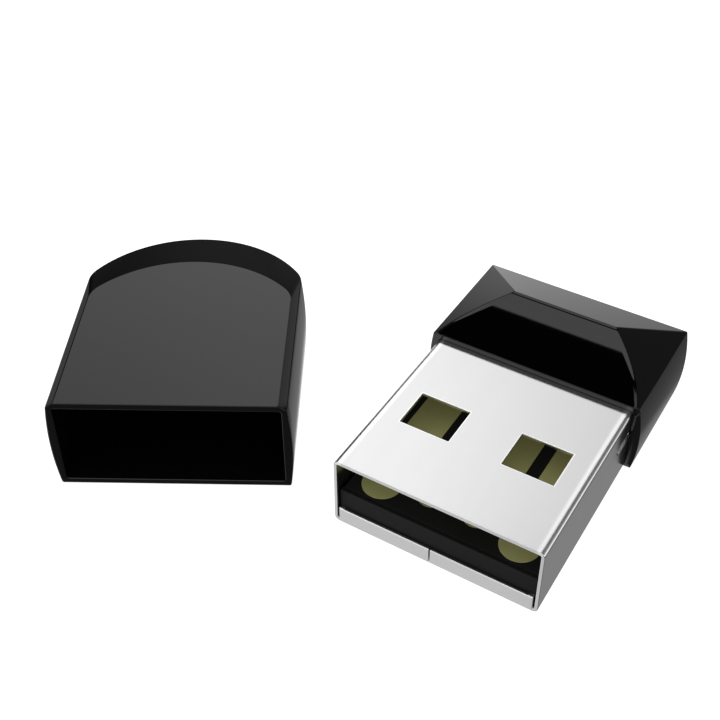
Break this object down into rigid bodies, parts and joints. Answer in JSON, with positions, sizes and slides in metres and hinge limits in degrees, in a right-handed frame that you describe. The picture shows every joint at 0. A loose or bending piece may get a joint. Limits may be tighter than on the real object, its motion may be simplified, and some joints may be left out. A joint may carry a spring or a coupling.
{
  "type": "usb flash drive",
  "caption": "Low-profile memory stick: a metal Type-A plug in a faceted gloss-black head, with its loose arched cap lying beside it.",
  "frame": {"origin": "middle of the plug's mouth, on the plane of its underside", "axes": "the plug points along -Y, its contacts face +Z, +X is to the right when looking into the head from the mouth; everything rests on z = 0"},
  "size_m": [0.0329, 0.025, 0.0065],
  "materials": {
    "steel_shell": "nickel-plated, fine satin",
    "gloss_black": "piano-black gloss",
    "cap_black": "gloss with a soft sheen",
    "carrier_black": "fine moulded",
    "laminate": "black solder mask",
    "gold_contact": "thin gold flash, olive tone",
    "mould_black": "epoxy, fine grain",
    "silicon": "ground and polished",
    "attach_film": "cured film",
    "gold_wire": "bright drawn",
    "component_body": "matt",
    "resistor_body": "matt",
    "adhesive": "soft, translucent"
  },
  "bodies": {
    "drive": {"plug_shell": "steel_shell", "head_cover": "gloss_black", "module_carrier": "carrier_black", "module_clamp": "carrier_black", "module_tape": "adhesive", "head_glue": "adhesive", "module_substrate": "laminate", "ground_pad": "gold_contact", "data_plus_pad": "gold_contact", "data_minus_pad": "gold_contact", "power_pad": "gold_contact", "mould_body": "mould_black", "controller_die": "silicon", "lower_flash_die": "silicon", "upper_flash_die": "silicon", "die_attach_films": "attach_film", "bond_wires": "gold_wire", "oscillator": "component_body", "ceramic_capacitors": "component_body", "bulk_capacitor": "component_body", "chip_resistors": "resistor_body", "power_fuse": "resistor_body"},
    "cap": {"cap": "cap_black"}
  },
  "joints": [
    {"name": "cap_slide", "type": "slide", "parent": "drive", "child": "cap", "axis": [0.5, -0.866, 0], "range_m": [0, 0.0114]}
  ]
}
